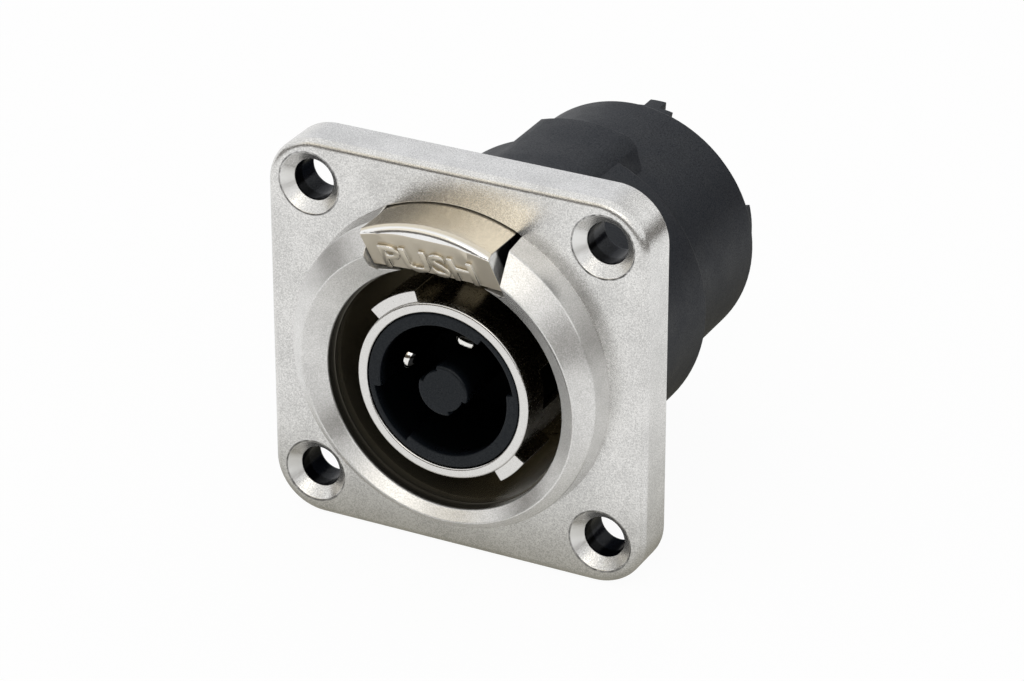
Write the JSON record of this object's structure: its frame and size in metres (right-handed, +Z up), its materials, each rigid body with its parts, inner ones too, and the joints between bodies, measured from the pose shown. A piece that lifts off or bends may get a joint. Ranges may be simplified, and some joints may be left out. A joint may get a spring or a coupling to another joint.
{
  "type": "panel-mount loudspeaker receptacle",
  "caption": "Square-flanged loudspeaker receptacle: nickel-plated shell with a round keyed socket, a sprung push-release latch, and a black rear housing with flat terminal tabs.",
  "frame": {"origin": "centre of the screw pattern, on the rear face of the flange, where it meets the panel", "axes": "+X right seen from the front, +Y to the rear through the panel, +Z up with the latch button at the top"},
  "size_m": [0.038, 0.0493, 0.038],
  "materials": {
    "nickel_shell": "satin nickel on a fine-grained die casting",
    "nickel_sleeve": "satin nickel",
    "latch_nickel": "polished nickel",
    "insert_plastic": "matte, slate black",
    "housing_plastic": "fine moulded texture, charcoal black",
    "contact_plating": "bright plating",
    "seal_rubber": "matte",
    "spring_steel": "bright drawn wire"
  },
  "bodies": {
    "receptacle": {"flange_shell": "nickel_shell", "plug_sleeve": "nickel_sleeve", "contact_insert": "insert_plastic", "insert_seal": "seal_rubber", "contact_1": "contact_plating", "contact_2": "contact_plating", "rear_housing": "housing_plastic", "terminal_plate": "housing_plastic", "latch_spring_left": "spring_steel", "latch_spring_right": "spring_steel"},
    "latch": {"latch_button": "latch_nickel"}
  },
  "joints": [
    {"name": "latch_push", "type": "slide", "parent": "receptacle", "child": "latch", "axis": [0, 1, 0], "range_m": [0, 0.0018], "stiffness_N_per_m": 1500, "springref_m": -0.002, "deforming": ["latch_spring_left", "latch_spring_right"]}
  ]
}
